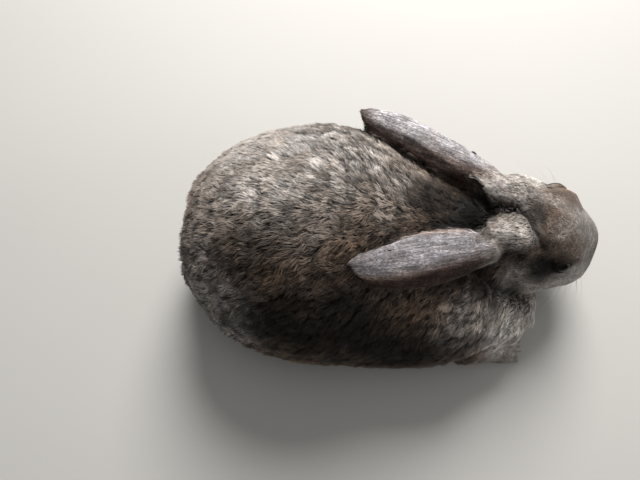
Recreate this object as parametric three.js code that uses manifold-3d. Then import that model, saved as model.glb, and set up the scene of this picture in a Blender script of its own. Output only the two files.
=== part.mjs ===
// A domestic rabbit of a broad-headed, long-eared lop cross, crouched on its belly with its ears laid
// back over its shoulders. It is a still, life-size model, whose solids reach out to the coat's tips.
// Millimetres. +X is the way the trunk points, +Y the rabbit's left and +Z up from the floor at z = 0.
import * as THREE from "three";
import { mergeVertices } from "three/addons/utils/BufferGeometryUtils.js";
import Module from "manifold-3d";

const wasm = await Module();
wasm.setup();

// ---- Driving sizes ------------------------------------------------------------------------------
const trunkLength = 332; // back of the rump to front of the chest
const haunchWidth = 223; // across both thighs
const humpHeight = 172; // floor to the top of the back
const shoulderWidth = 186;
const headLength = 122; // nape to nose
const headWidth = 112; // across the jowls
const headHeight = 92; // chin to forehead
const eyeRadius = 9.2;
const earWidth = 56; // edge to edge, opened out flat
const earThickness = 4.6;
const hindFootLength = 104;
const foreFootLength = 62;
const clawLength = 10;
const cutWidth = 0.5; // the slit that parts two neighbouring solids

// ---- Where things are ---------------------------------------------------------------------------
const trunkBack = -192; // x of the back of the rump
const rumpShift = 5; // how far the rump lies to the left of y = 0
const chestShift = -10; // and the chest, for the trunk bends round to the left
const headAt = new THREE.Vector3(146, 14, 88); // the point midway between the eyes
const headPitch = 17; // degrees, nose down
const headYaw = -1; // degrees, to the left

// ---- Fields: each gives a point's rough distance to a form, negative inside ---------------------
const point = (x, y, z) => new THREE.Vector3(x, y, z);
const degrees = THREE.MathUtils.degToRad;
const scratch = new THREE.Vector3();

// A ball of three radii, turned by Euler angles in degrees.
function ball(centre, radii, turn = [0, 0, 0]) {
  const back = new THREE.Quaternion().setFromEuler(new THREE.Euler(...turn.map(degrees))).invert();
  return (p) => {
    const q = scratch.subVectors(p, centre).applyQuaternion(back);
    const near = Math.hypot(q.x / radii.x, q.y / radii.y, q.z / radii.z);
    const slope = Math.hypot(q.x / radii.x ** 2, q.y / radii.y ** 2, q.z / radii.z ** 2);
    return slope < 1e-9 ? -Math.min(radii.x, radii.y, radii.z) : (near * (near - 1)) / slope;
  };
}

// A rod with round ends, of one radius at its start and another at its end.
function rod(start, end, startRadius, endRadius) {
  const along = new THREE.Vector3().subVectors(end, start);
  return (p) => {
    const share = THREE.MathUtils.clamp(scratch.subVectors(p, start).dot(along) / along.lengthSq(), 0, 1);
    const radius = THREE.MathUtils.lerp(startRadius, endRadius, share);
    return scratch.copy(start).addScaledVector(along, share).distanceTo(p) - radius;
  };
}

// Forms run together like soft flesh, over about this many millimetres.
function blend(softness, ...forms) {
  return (p) =>
    forms
      .map((form) => form(p))
      .reduce((a, b) => {
        const share = Math.max(softness - Math.abs(a - b), 0) / softness;
        return Math.min(a, b) - (share * share * softness) / 4;
      });
}

// A pair of forms that mirror each other across the plane y = 0.
function pair(form) {
  const mirrored = new THREE.Vector3();
  return (p) => form(mirrored.set(p.x, Math.abs(p.y), p.z));
}

// A form given in the frame that a matrix places.
function placed(matrix, form) {
  const back = matrix.clone().invert();
  const local = new THREE.Vector3();
  return (p) => form(local.copy(p).applyMatrix4(back));
}

const onFloor = (form) => (p) => Math.max(form(p), -p.z);

// ---- Solids -------------------------------------------------------------------------------------
function solidOf(geometry) {
  const bare = geometry.clone();
  bare.deleteAttribute("normal");
  bare.deleteAttribute("uv");
  const merged = mergeVertices(bare, 1e-3);
  const made = new wasm.Manifold(
    new wasm.Mesh({
      numProp: 3,
      vertProperties: merged.attributes.position.array,
      triVerts: new Uint32Array(merged.index.array),
    }),
  );
  return made;
}

function geometryOf(solid) {
  const mesh = solid.getMesh();
  const geometry = new THREE.BufferGeometry();
  geometry.setAttribute("position", new THREE.BufferAttribute(mesh.vertProperties, 3));
  geometry.setIndex(new THREE.BufferAttribute(mesh.triVerts, 1));
  geometry.computeVertexNormals();
  return geometry;
}

// How far a ray from inside a form goes before it comes out, less the spread.
function wayOut(form, origin, direction, spread) {
  const step = 2.5;
  const p = new THREE.Vector3();
  const outside = (reach) => form(p.copy(origin).addScaledVector(direction, reach)) > spread;
  let reach = 0;
  while (!outside(reach) && reach < 400) reach += step;
  let low = Math.max(reach - step, 0);
  let high = reach;
  for (let i = 0; i < 18; i++) {
    const middle = (low + high) / 2;
    if (outside(middle)) high = middle;
    else low = middle;
  }
  return low;
}

// A sphere drawn over a form from a line inside it, with its poles at the line's ends. Spread swells
// it evenly.
function drape(form, line, { rings, sides, spread = 0, lean = 3, pace = (share) => share }) {
  const geometry = new THREE.SphereGeometry(1, sides, rings);
  const place = geometry.attributes.position;
  const up = new THREE.Vector3(0, 0, 1);
  const origin = new THREE.Vector3();
  const direction = new THREE.Vector3();
  const tangent = new THREE.Vector3();
  for (let i = 0; i < place.count; i++) {
    const polar = Math.acos(THREE.MathUtils.clamp(place.getY(i), -1, 1));
    const share = pace(1 - polar / Math.PI);
    line.getPointAt(THREE.MathUtils.clamp(share, 0, 1), origin);
    line.getTangentAt(THREE.MathUtils.clamp(share, 0, 1), tangent);
    const side = new THREE.Vector3().crossVectors(tangent, up).normalize();
    const top = new THREE.Vector3().crossVectors(side, tangent);
    const round = Math.hypot(place.getX(i), place.getZ(i));
    const axial = 2 * share - 1;
    direction.copy(tangent).multiplyScalar(Math.sign(axial) * Math.abs(axial) ** lean);
    if (round > 1e-6) {
      const width = Math.sqrt(1 - Math.min(Math.abs(axial) ** (2 * lean), 1));
      direction.addScaledVector(side, (place.getX(i) / round) * width);
      direction.addScaledVector(top, (place.getZ(i) / round) * width);
    }
    direction.normalize();
    const reach = wayOut(form, origin, direction, spread);
    origin.addScaledVector(direction, reach);
    place.setXYZ(i, origin.x, origin.y, origin.z < 0.01 ? Math.min(0, origin.z) : origin.z);
  }
  return solidOf(geometry);
}

const curve = (...points) => new THREE.CatmullRomCurve3(points);

// ---- Head ---------------------------------------------------------------------------------------
const headPose = new THREE.Matrix4().compose(
  headAt,
  new THREE.Quaternion().setFromEuler(new THREE.Euler(0, degrees(headPitch), degrees(headYaw), "ZYX")),
  point(1, 1, 1),
);
const inHead = (x, y, z) => point(x, y, z).applyMatrix4(headPose);

// Sizes in the head's own frame: x to the nose, y to the left, z to the crown.
const eyeAt = point(-0.05 * headLength, 0.278 * headWidth, 0.13 * headHeight);
const earRoot = point(-0.49 * headLength, 0.16 * headWidth, 0.2 * headHeight);

function headForm() {
  const L = headLength;
  const W = headWidth;
  const H = headHeight;
  const cranium = ball(point(-0.2 * L, 0, 0.06 * H), point(0.36 * L, 0.31 * W, 0.385 * H));
  const bridge = ball(point(0.1 * L, 0, 0.01 * H), point(0.31 * L, 0.21 * W, 0.26 * H), [0, 20, 0]);
  const muzzle = ball(point(0.22 * L, 0, -0.2 * H), point(0.19 * L, 0.295 * W, 0.22 * H));
  const pads = ball(point(0.24 * L, 0.16 * W, -0.22 * H), point(0.14 * L, 0.16 * W, 0.16 * H));
  const chin = ball(point(0.18 * L, 0, -0.39 * H), point(0.15 * L, 0.13 * W, 0.12 * H));
  const cheeks = ball(point(0.04 * L, 0.19 * W, -0.2 * H), point(0.3 * L, 0.24 * W, 0.28 * H));
  const jowls = ball(point(-0.23 * L, 0.26 * W, -0.2 * H), point(0.3 * L, 0.26 * W, 0.3 * H));
  const jaw = ball(point(-0.05 * L, 0, -0.3 * H), point(0.3 * L, 0.28 * W, 0.2 * H));
  const brows = ball(point(-0.02 * L, 0.22 * W, 0.2 * H), point(0.14 * L, 0.08 * W, 0.09 * H), [0, 10, 8]);
  const earBases = blend(
    8,
    ball(earRoot, point(0.2 * L, 0.175 * W, 0.25 * H), [0, 0, -8]),
    ball(point(-0.7 * L, 0.15 * W, 0.2 * H), point(0.18 * L, 0.14 * W, 0.17 * H)),
  );
  const skull = blend(9, blend(12, cranium, bridge, pair(brows)), pair(earBases));
  const face = blend(10, muzzle, pair(pads), chin);
  return placed(headPose, blend(16, skull, face, pair(cheeks), pair(jowls), jaw));
}

// The line that the head is drawn round.
const headLine = curve(
  inHead(-0.5 * headLength, 0, 0.02 * headHeight),
  inHead(-0.1 * headLength, 0, -0.06 * headHeight),
  inHead(0.22 * headLength, 0, -0.18 * headHeight),
);
const headMesh = { rings: 22, sides: 24, lean: 2.4 };
const headShape = (spread) => drape(headForm(), headLine, { ...headMesh, spread });

// ---- Trunk and neck -----------------------------------------------------------------------------
const alongTrunk = (share) => trunkBack + share * trunkLength;
const bothSides = (share, middle, out, z, radii, [tilt, pitch, yaw] = [0, 0, 0]) =>
  [1, -1].map((side) => {
    const centre = point(alongTrunk(share), middle + side * out, z);
    return ball(centre, radii, [side * tilt, pitch, side * yaw]);
  });

function trunkForm() {
  const L = trunkLength;
  const W = haunchWidth;
  const H = humpHeight;
  const S = shoulderWidth;
  const bend = (share) => THREE.MathUtils.lerp(rumpShift, chestShift, share);
  const middle = (share, z) => point(alongTrunk(share), bend(share), z);
  const hump = ball(middle(0.36, 0.5 * H).add(point(0, 3, 0)), point(0.355 * L, 0.45 * W, 0.5 * H));
  const belly = ball(middle(0.5, 0.3 * H), point(0.4 * L, 0.43 * W, 0.34 * H));
  const ribs = ball(middle(0.67, 0.4 * H), point(0.245 * L, 0.47 * S, 0.38 * H));
  const rump = ball(middle(0.21, 0.4 * H).add(point(0, 4, 0)), point(0.2 * L, 0.38 * W, 0.36 * H));
  const haunch = point(0.27 * L, 0.195 * W, 0.36 * H);
  const haunches = bothSides(0.37, 4, 0.3 * W, 0.33 * H, haunch, [0, -12, 4]);
  const flank = point(0.2 * L, 0.21 * S, 0.26 * H);
  const flanks = bothSides(0.6, chestShift, 0.305 * S, 0.28 * H, flank);
  const shoulder = point(0.17 * L, 0.2 * S, 0.28 * H);
  const shoulders = bothSides(0.72, chestShift, 0.28 * S, 0.3 * H, shoulder, [0, -8, 0]);
  const chest = ball(middle(0.87, 0.26 * H), point(0.153 * L, 0.37 * S, 0.24 * H));
  const elbow = point(0.11 * L, 0.15 * S, 0.18 * H);
  const elbows = bothSides(0.89, chestShift, 0.26 * S, 0.21 * H, elbow);
  return blend(26, hump, belly, ribs, rump, ...haunches, ...flanks, ...shoulders, chest, ...elbows);
}

const nape = rod(point(46, -5, 84), inHead(-0.28 * headLength, 0, -0.04 * headHeight), 50, 32);
const throat = rod(point(84, -4, 50), inHead(-0.12 * headLength, 0, -0.3 * headHeight), 36, 20);

// The line that the trunk and neck are drawn round.
const bodyLine = curve(
  point(trunkBack + 66, rumpShift, 74),
  point(-60, 0, 76),
  point(10, chestShift / 2, 70),
  point(60, chestShift / 2, 68),
  point(104, 0, 66),
);
const bodyMesh = { rings: 28, sides: 28, lean: 4 };
const bodyForm = onFloor(blend(18, trunkForm(), nape, throat));
const trunkShape = (spread) => drape(bodyForm, bodyLine, { ...bodyMesh, spread });

// ---- Limbs and tail -----------------------------------------------------------------------------
const hindAnkle = (side) => point(-92, rumpShift + side * 86, 20);
const hindBall = (side) => hindAnkle(side).add(point(0.66 * hindFootLength, side * 3, -5));
const foreElbow = (side) => point(76, chestShift + side * 72, 38);
const foreBall = (side) => point(113, chestShift + side * 75, 13);

// A paw's toes fan out from its ball as four short rods.
function toes(start, length, radius, spread, bearing) {
  return [-1.5, -0.5, 0.5, 1.5].map((place) => {
    const angle = degrees(bearing + place * spread);
    const reach = length * (1 - 0.09 * place ** 2);
    const root = start.clone().add(point(0, place * radius * 0.9, 0));
    const tip = root.clone().add(point(reach * Math.cos(angle), reach * Math.sin(angle), radius - start.z));
    return { root, tip, bearing: angle };
  });
}
const hindToes = (side) => toes(hindBall(side), 0.24 * hindFootLength, 7.2, 7, side * 3);
const foreToes = (side) => toes(foreBall(side), 0.3 * foreFootLength, 6.4, 8, side * -2);

const limbMesh = { rings: 12, sides: 13, lean: 1.7 };
function hindFoot(side, spread) {
  const [ankle, sole] = [hindAnkle(side), hindBall(side)];
  const rods = hindToes(side).map(({ root, tip }) => rod(root, tip, 8.4, 7));
  const form = onFloor(blend(7, rod(ankle, sole, 20, 15), ...rods));
  const line = curve(ankle, sole, sole.clone().add(point(0.12 * hindFootLength, 0, -5)));
  return drape(form, line, { ...limbMesh, spread });
}

function foreLeg(side, spread) {
  const [elbow, palm] = [foreElbow(side), foreBall(side)];
  const rods = foreToes(side).map(({ root, tip }) => rod(root, tip, 7.4, 6.4));
  const form = onFloor(blend(7, rod(elbow, palm, 24, 14), ...rods));
  const line = curve(elbow, palm, palm.clone().add(point(0.12 * foreFootLength, 0, -4)));
  return drape(form, line, { ...limbMesh, spread });
}

const tailForm = ball(point(trunkBack + 13, rumpShift, 56), point(15, 21, 30), [0, 16, 0]);
const tailLine = curve(point(trunkBack + 17, rumpShift, 42), point(trunkBack + 12, rumpShift, 70));
const tail = (spread) => drape(tailForm, tailLine, { rings: 8, sides: 12, lean: 1.2, spread });

// ---- Ears ---------------------------------------------------------------------------------------
// Each ear is a leaf rolled about its back, which runs along a line from the root to the tip. Its
// width, its roll and the way its back faces are given at even steps along that line.
const steps = (values) => (share) => {
  const place = share * (values.length - 1);
  const i = Math.min(Math.floor(place), values.length - 2);
  const t = THREE.MathUtils.smoothstep(place - i, 0, 1);
  return typeof values[i] === "number"
    ? THREE.MathUtils.lerp(values[i], values[i + 1], t)
    : values[i].clone().lerp(values[i + 1], t);
};

function ear({ back, width, roll, facing, bluntness }) {
  const geometry = new THREE.SphereGeometry(1, 16, 17);
  const place = geometry.attributes.position;
  const [widths, rolls, facings] = [steps(width), steps(roll), steps(facing)];
  for (let i = 0; i < place.count; i++) {
    const share = 1 - Math.acos(THREE.MathUtils.clamp(place.getY(i), -1, 1)) / Math.PI;
    const tangent = back.getTangentAt(share);
    const outward = facings(share).projectOnPlane(tangent).normalize();
    const across = new THREE.Vector3().crossVectors(tangent, outward);
    const closing = Math.sqrt(Math.min(1, 6 * share)) * Math.sqrt(1 - share ** bluntness);
    const round = Math.hypot(place.getX(i), place.getZ(i)) || 1;
    const angle = degrees(rolls(share));
    const radius = (widths(share) * earWidth) / angle;
    const turn = ((place.getX(i) / round) * closing * angle) / 2;
    const face = place.getZ(i) / round;
    const lift = (earThickness / 2) * closing * (Math.sign(face) * Math.abs(face) ** 0.6 - 1);
    const p = back.getPointAt(share).addScaledVector(across, (radius + lift) * Math.sin(turn));
    p.addScaledVector(outward, (radius + lift) * Math.cos(turn) - radius);
    place.setXYZ(i, p.x, p.y, p.z);
  }
  return solidOf(geometry);
}

const facingOut = (side) => point(0, side, 1);
// The right ear lies over the back, and opens flat towards its tip.
const rightEar = ear({
  back: curve(
    point(103, -4, 118),
    point(84, -11, 137),
    point(52, -22, 149),
    point(14, -34, 157),
    point(-14, -41, 165),
    point(-44, -39, 171),
  ),
  width: [0.9, 1.05, 1.06, 0.98, 0.78, 0.48],
  roll: [300, 240, 150, 110, 85, 60],
  facing: [0, -0.1, -0.25, -0.3, -0.3, -0.3].map(facingOut),
  bluntness: 7,
});
// The left ear stands out over the flank, rolled up all the way to its blunt tip.
const leftEar = ear({
  back: curve(
    point(103, 36, 120),
    point(86, 41, 136),
    point(62, 56, 140),
    point(32, 78, 137),
    point(0, 99, 131),
    point(-33, 110, 124),
  ),
  width: [0.9, 1.08, 1.12, 1.04, 0.95, 0.82],
  roll: [300, 270, 235, 220, 215, 205],
  facing: [0, 0, 0.1, 0.2, 0.2, 0.2].map(facingOut),
  bluntness: 12,
});

// ---- The model's group and its finishes ---------------------------------------------------------
const finish = (color, roughness) =>
  new THREE.MeshStandardMaterial({ color, roughness, metalness: 0 });
const bodyCoat = finish(0x6f635a, 0.9);
const headCoat = finish(0x675d56, 0.9);
const earCoat = finish(0x79736f, 0.85);
const footCoat = finish(0x7d746a, 0.9);
const tailCoat = finish(0x8b847b, 0.95);
const eyeGlaze = finish(0x1c120c, 0.08);
const clawHorn = finish(0x5a4b40, 0.4);

const rabbit = new THREE.Group();
function add(name, solid, material) {
  const mesh = new THREE.Mesh(geometryOf(solid), material);
  mesh.name = name;
  rabbit.add(mesh);
  return mesh;
}

// ---- Parting the flesh --------------------------------------------------------------------------
const turnedBy = (...turn) =>
  new THREE.Quaternion().setFromEuler(new THREE.Euler(...turn.map(degrees)));

function egg(centre, radii, quaternion, grow) {
  const geometry = new THREE.SphereGeometry(1, 12, 8);
  geometry.rotateX(Math.PI / 2);
  geometry.applyMatrix4(new THREE.Matrix4().compose(centre, quaternion, radii.clone().addScalar(grow)));
  return solidOf(geometry);
}

const largest = (solid) => solid.decompose().reduce((a, b) => (a.volume() > b.volume() ? a : b));

const eyeRoom = 0.3; // between an eyeball and its socket
const eyeBall = (side, spread) => {
  const geometry = new THREE.SphereGeometry(eyeRadius + spread, 12, 8).rotateX(Math.PI / 2);
  const place = new THREE.Matrix4().setPosition(eyeAt.x, side * eyeAt.y, eyeAt.z);
  return solidOf(geometry.applyMatrix4(headPose.clone().multiply(place)));
};

// A claw curves down from the tip of its toe.
function claw({ root, tip, bearing }, scale) {
  const geometry = new THREE.SphereGeometry(1, 5, 4).rotateZ(-Math.PI / 2);
  const place = geometry.attributes.position;
  for (let i = 0; i < place.count; i++) {
    const share = (place.getX(i) + 1) / 2;
    const thick = clawLength * scale * 0.17 * (1 - 0.75 * share);
    const drop = -0.22 * clawLength * scale * share ** 2;
    place.setXYZ(i, clawLength * scale * share, place.getY(i) * thick, place.getZ(i) * thick + drop);
  }
  const onward = tip.clone().sub(root).setZ(0).normalize();
  const start = tip.clone().addScaledVector(onward, 3.4).setZ(clawLength * scale * 0.42);
  return solidOf(geometry.rotateZ(bearing).translate(start.x, start.y, start.z));
}

// What is left of the trunk once the pieces that lie in it, and a slit round each, have been taken out.
let left = trunkShape(0);
function settle(name, material, form) {
  add(name, form(0), material);
  left = left.subtract(form(cutWidth));
}
function take(name, material, ...cutter) {
  add(name, largest(left.intersect(egg(...cutter, 0)).simplify(0.05)), material);
  left = left.subtract(egg(...cutter, cutWidth));
}

const sides = [1, -1];
const hands = { [1]: "left", [-1]: "right" };
const withSockets = (head) => sides.reduce((left, side) => left.subtract(eyeBall(side, eyeRoom)), head);
settle("head", headCoat, (spread) => (spread ? headShape(spread) : withSockets(headShape(0))));
settle("tail", tailCoat, tail);
for (const side of sides) {
  const hand = hands[side];
  settle(`hind_foot_${hand}`, footCoat, (spread) => hindFoot(side, spread));
  settle(`foreleg_${hand}`, footCoat, (spread) => foreLeg(side, spread));
  const thighMiddle = point(alongTrunk(0.37), rumpShift + side * 0.46 * haunchWidth, 0.38 * humpHeight);
  const thighSize = point(0.275 * trunkLength, 0.24 * haunchWidth, 0.34 * humpHeight);
  take(`thigh_${hand}`, bodyCoat, thighMiddle, thighSize, turnedBy(0, -10, side * 4));
}
take("neck", bodyCoat, point(78, 4, 100), point(54, 62, 62), turnedBy(0, 20, 6));
add("trunk", largest(left.simplify(0.08)), bodyCoat);

// Claws stand clear of the toes, and those tucked under the trunk are left out.
function addClaws(name, toeList, scale, footRoom) {
  toeList.forEach((toe, i) => {
    const clear = claw(toe, scale).subtract(footRoom);
    if (clear.intersect(trunkRoom).volume() < 0.01) add(`${name}_${i + 1}`, largest(clear), clawHorn);
  });
}

const [headRoom, trunkRoom] = [headShape(cutWidth), trunkShape(cutWidth)];
for (const [side, whole] of [[1, leftEar], [-1, rightEar]]) {
  const hand = hands[side];
  add(`ear_${hand}`, largest(whole.subtract(headRoom).subtract(trunkRoom).simplify(0.05)), earCoat);
  add(`eye_${hand}`, eyeBall(side, 0), eyeGlaze);
  addClaws(`hind_claw_${hand}`, hindToes(side), 1, hindFoot(side, 0.3));
  addClaws(`fore_claw_${hand}`, foreToes(side), 0.9, foreLeg(side, 0.3));
}

// The origin is the middle of the footprint's box, on the floor.
const box = new THREE.Box3().setFromObject(rabbit, true);
const centre = box.getCenter(new THREE.Vector3());
rabbit.position.set(-centre.x, -centre.y, -box.min.z);

export default rabbit;
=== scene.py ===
"""A crouched lop-cross rabbit, life size, in a short dense coat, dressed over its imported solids."""
import math

import bmesh
import bpy
import numpy as np
from mathutils import Matrix, Vector
from mathutils.bvhtree import BVHTree
from mathutils.kdtree import KDTree


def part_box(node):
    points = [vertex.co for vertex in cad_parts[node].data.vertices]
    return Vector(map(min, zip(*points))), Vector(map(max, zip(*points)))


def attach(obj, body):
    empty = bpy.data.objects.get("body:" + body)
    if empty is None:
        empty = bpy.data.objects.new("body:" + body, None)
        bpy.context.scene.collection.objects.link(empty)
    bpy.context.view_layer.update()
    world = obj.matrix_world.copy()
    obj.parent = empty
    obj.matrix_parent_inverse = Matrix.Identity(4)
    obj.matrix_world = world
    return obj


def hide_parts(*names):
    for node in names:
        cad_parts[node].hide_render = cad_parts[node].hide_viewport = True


bl_info = {
    "name": "Crouched Rabbit",
    "version": (1, 0, 0),
    "blender": (4, 5, 0),
    "location": "3D View > Sidebar > Rabbit",
    "description": "Dresses a rabbit's solids with skin, coat, eyes, claws and whiskers",
    "category": "Object",
}

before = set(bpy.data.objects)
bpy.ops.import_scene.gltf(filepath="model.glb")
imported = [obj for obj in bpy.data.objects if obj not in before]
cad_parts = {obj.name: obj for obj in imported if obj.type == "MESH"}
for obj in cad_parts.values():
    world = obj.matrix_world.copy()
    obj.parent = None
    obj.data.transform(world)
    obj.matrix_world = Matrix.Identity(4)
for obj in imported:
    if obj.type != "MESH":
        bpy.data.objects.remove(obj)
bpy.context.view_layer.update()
MM = 0.001

# The flesh that one skin stands for, by kind. Eyes and claws stay separate.
BODY, HEAD, EAR, FOOT, TAIL = range(5)
STARTS = {"head": HEAD, "ear": EAR, "hind_foot": FOOT, "foreleg": FOOT, "tail": TAIL}


def kind_of(node):
    return next((kind for start, kind in STARTS.items() if node.startswith(start)), BODY)


CLAWS = sorted(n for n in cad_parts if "_claw_" in n)
EYES = ("eye_left", "eye_right")
FLESH = sorted(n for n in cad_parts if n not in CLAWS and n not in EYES)


# ---- Colours and nodes ----
def linear(code):
    """An sRGB hex colour as linear red, green, blue and alpha."""
    parts = (int(code[i : i + 2], 16) / 255 for i in (1, 3, 5))
    return (*(c / 12.92 if c <= 0.04045 else ((c + 0.055) / 1.055) ** 2.4 for c in parts), 1.0)


def add_node(tree, kind, sockets=None, out=0, **settings):
    """Adds a node and gives its output. A socket takes a value, or the output that it is linked from."""
    node = tree.nodes.new(kind)
    for name, value in settings.items():
        setattr(node, name, value)
    for key, value in (sockets or {}).items():
        if isinstance(value, bpy.types.NodeSocket):
            tree.links.new(value, node.inputs[key])
        else:
            node.inputs[key].default_value = value
    return node.outputs[out]


# ---- Where things are: everything is placed from the frame's boxes ----
def middle(node):
    low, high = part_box(node)
    return (Vector(low) + Vector(high)) / 2


HEAD_PITCH = math.radians(17)  # nose down
EYE_RADIUS = (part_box("eye_left")[1][2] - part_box("eye_left")[0][2]) / 2


def head_axes():
    """The head's own frame: x to the nose, y to its left and z to the crown."""
    left = (middle("eye_left") - middle("eye_right")).normalized()
    ahead = Matrix.Rotation(HEAD_PITCH, 3, left) @ left.cross(Vector((0, 0, 1)))
    up = ahead.cross(left)
    centre = (middle("eye_left") + middle("eye_right")) / 2 + (6.1 * ahead - 12 * up) * MM
    return np.array([ahead, left, up]), np.array(centre)


HEAD_AXES, HEAD_CENTRE = head_axes()
BODY_LOW, BODY_HIGH = (np.array(c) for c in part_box("trunk"))


def in_head(points):
    """Points in the head's own frame, in millimetres."""
    return (points - HEAD_CENTRE) @ HEAD_AXES.T / MM


def from_head(x, y, z):
    """A point that is given in the head's own frame, in millimetres."""
    return HEAD_CENTRE + np.array((x, y, z)) * MM @ HEAD_AXES


def smoothstep(low, high, values):
    share = np.clip((values - low) / (high - low), 0, 1)
    return share * share * (3 - 2 * share)


def unit(vectors):
    return vectors / np.maximum(np.linalg.norm(vectors, axis=-1, keepdims=True), 1e-12)


def along(points, normals, directions):
    """Directions laid flat on the surface."""
    return unit(directions - normals * np.sum(directions * normals, axis=1, keepdims=True))


# ---- Meshes and arrays ----
def points_of(mesh):
    found = np.empty(len(mesh.vertices) * 3, np.float32)
    mesh.vertices.foreach_get("co", found)
    return found.reshape(-1, 3).astype(float)


def normals_of(mesh):
    found = np.empty(len(mesh.vertices) * 3, np.float32)
    mesh.vertex_normals.foreach_get("vector", found)
    return found.reshape(-1, 3).astype(float)


def set_points(mesh, points):
    mesh.vertices.foreach_set("co", points.astype(np.float32).ravel())
    mesh.update()


def edges_of(mesh):
    found = np.empty(len(mesh.edges) * 2, np.int32)
    mesh.edges.foreach_get("vertices", found)
    return found.reshape(-1, 2)


def evened(values, edges, times, share=0.5):
    """Values at a mesh's points, each drawn towards its neighbours' mean a number of times."""
    values = np.array(values, float)
    columns = values.reshape(len(values), -1)
    a, b = edges.T
    count = np.maximum(np.bincount(edges.ravel(), minlength=len(columns)), 1)
    share = np.broadcast_to(share, (len(columns),))
    for _ in range(times):
        for i in range(columns.shape[1]):
            column = columns[:, i]
            total = np.bincount(a, column[b], len(columns)) + np.bincount(b, column[a], len(columns))
            columns[:, i] += share * (total / count - column)
    return columns.reshape(values.shape)


def merged(node):
    """A bmesh copy of a CAD node with its loose triangles joined."""
    work = bmesh.new()
    work.from_mesh(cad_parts[node].data)
    bmesh.ops.remove_doubles(work, verts=work.verts, dist=1e-5)
    work.normal_update()
    return work


def mesh_from(work, name):
    """A new mesh of a bmesh, which is freed."""
    mesh = bpy.data.meshes.new(name)
    work.to_mesh(mesh)
    work.free()
    return mesh


def copied(name, nodes, growth, lowest=-10.0):
    """One mesh of copies of CAD nodes, each grown along its normals and none below a height, in millimetres."""
    whole = bmesh.new()
    for node in nodes:
        work = merged(node)
        for vertex in work.verts:
            vertex.co += vertex.normal * growth * MM
            vertex.co.z = max(vertex.co.z, lowest * MM)
        part = mesh_from(work, node)
        whole.from_mesh(part)
        bpy.data.meshes.remove(part)
    return mesh_from(whole, name)


def add_object(name, mesh, body="root"):
    made = bpy.data.objects.new(name, mesh)
    bpy.context.scene.collection.objects.link(made)
    if body:
        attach(made, body)
    return made


def applied(made):
    """The object's mesh with its modifiers applied."""
    graph = bpy.context.evaluated_depsgraph_get()
    mesh = bpy.data.meshes.new_from_object(made.evaluated_get(graph))
    made.modifiers.clear()
    made.data = mesh
    return mesh


def node_tree(nodes):
    """A search tree over the CAD nodes' faces, and the kind of flesh of each face."""
    points, faces, kinds = [], [], []
    for node in nodes:
        work = merged(node)
        start = len(points)
        points += [v.co.copy() for v in work.verts]
        faces += [[start + v.index for v in f.verts] for f in work.faces]
        kinds += [kind_of(node)] * len(work.faces)
        work.free()
    return BVHTree.FromPolygons(points, faces), np.array(kinds)


FLESH_TREE, FACE_KINDS = node_tree(FLESH)


def kinds_at(points):
    return FACE_KINDS[[FLESH_TREE.find_nearest(p)[2] for p in points.tolist()]]


# ---- Ears: a line down the middle of each, and how far across it a point lies ----
class EarLine:
    """The line down the middle of an ear and half its width, as curves of x."""

    def __init__(self, node):
        work = merged(node)
        places = np.array([v.co for v in work.verts])
        work.free()
        self.tip, self.root = places[:, 0].min(), places[:, 0].max()
        steps = np.linspace(self.tip, self.root, 10)
        rows = [places[(places[:, 0] >= a) & (places[:, 0] <= b)] for a, b in zip(steps, steps[1:])]
        mids = np.array([(*(r.min(0) + r.max(0)) / 2, np.ptp(r[:, 1]) / 2) for r in rows if len(r) > 4])
        self.y, self.z, self.half = (np.polyfit(mids[:, 0], column, 2) for column in mids.T[1:])

    def direction(self, points):
        x = points[:, 0]
        slopes = [np.polyval(np.polyder(curve), x) for curve in (self.y, self.z)]
        return unit(-np.stack([np.ones(len(x)), *slopes], 1))

    def place(self, points):
        """How far along the ear points lie, from 0 at the tip to 1 at the root, and across it, from -1 to 1."""
        x = np.clip(points[:, 0], self.tip, self.root)
        across = (points[:, 1] - np.polyval(self.y, x)) / np.maximum(np.polyval(self.half, x), 4 * MM)
        return np.stack([(x - self.tip) / (self.root - self.tip), across], 1)


EAR_LINES = {"left": EarLine("ear_left"), "right": EarLine("ear_right")}
EAR_SPLIT = (middle("ear_left").y + middle("ear_right").y) / 2


def by_ear(points, answer):
    """What answer(line, points) gives for each point from the ear on its own side."""
    left = (points[:, 1] > EAR_SPLIT)[:, None]
    return np.where(left, answer(EAR_LINES["left"], points), answer(EAR_LINES["right"], points))


# ---- The lie of the coat ----
NOSE = np.array((60.0, 0.0, -14.0))  # a point just before the nose, in the head's own frame


def spine_y(x):
    """How far to the left the middle of the trunk lies: it bends to the right towards the chest."""
    rump, chest = 2.6 * MM, -12.4 * MM
    return np.interp(x, (BODY_LOW[0], BODY_HIGH[0]), (rump, chest))


def lie_of_coat(points, normals, kinds):
    """Which way the hair points: from the nose back over head and body, down the flanks, along the limbs."""
    side = np.clip((points[:, 1] - spine_y(points[:, 0])) / 0.07, -1, 1)
    lie = np.stack([-np.ones(len(points)), 0.5 * side, -0.55 * np.ones(len(points))], 1)
    head, ear, foot, tail = (kinds == k for k in (HEAD, EAR, FOOT, TAIL))
    lie[head] = unit(in_head(points[head]) - NOSE) @ HEAD_AXES
    lie[ear] = by_ear(points[ear], EarLine.direction)
    lie[foot] = (1, 0, -0.35)
    lie[tail] = (-0.5, 0, 1)
    return along(points, normals, lie)


# ---- The coat's measures, point by point ----
EYE_WAYS = {1: (0.14, 0.96, 0.08), -1: (0.13, -0.86, 0.5)}  # which way the lids open, on the left and the right


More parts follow.
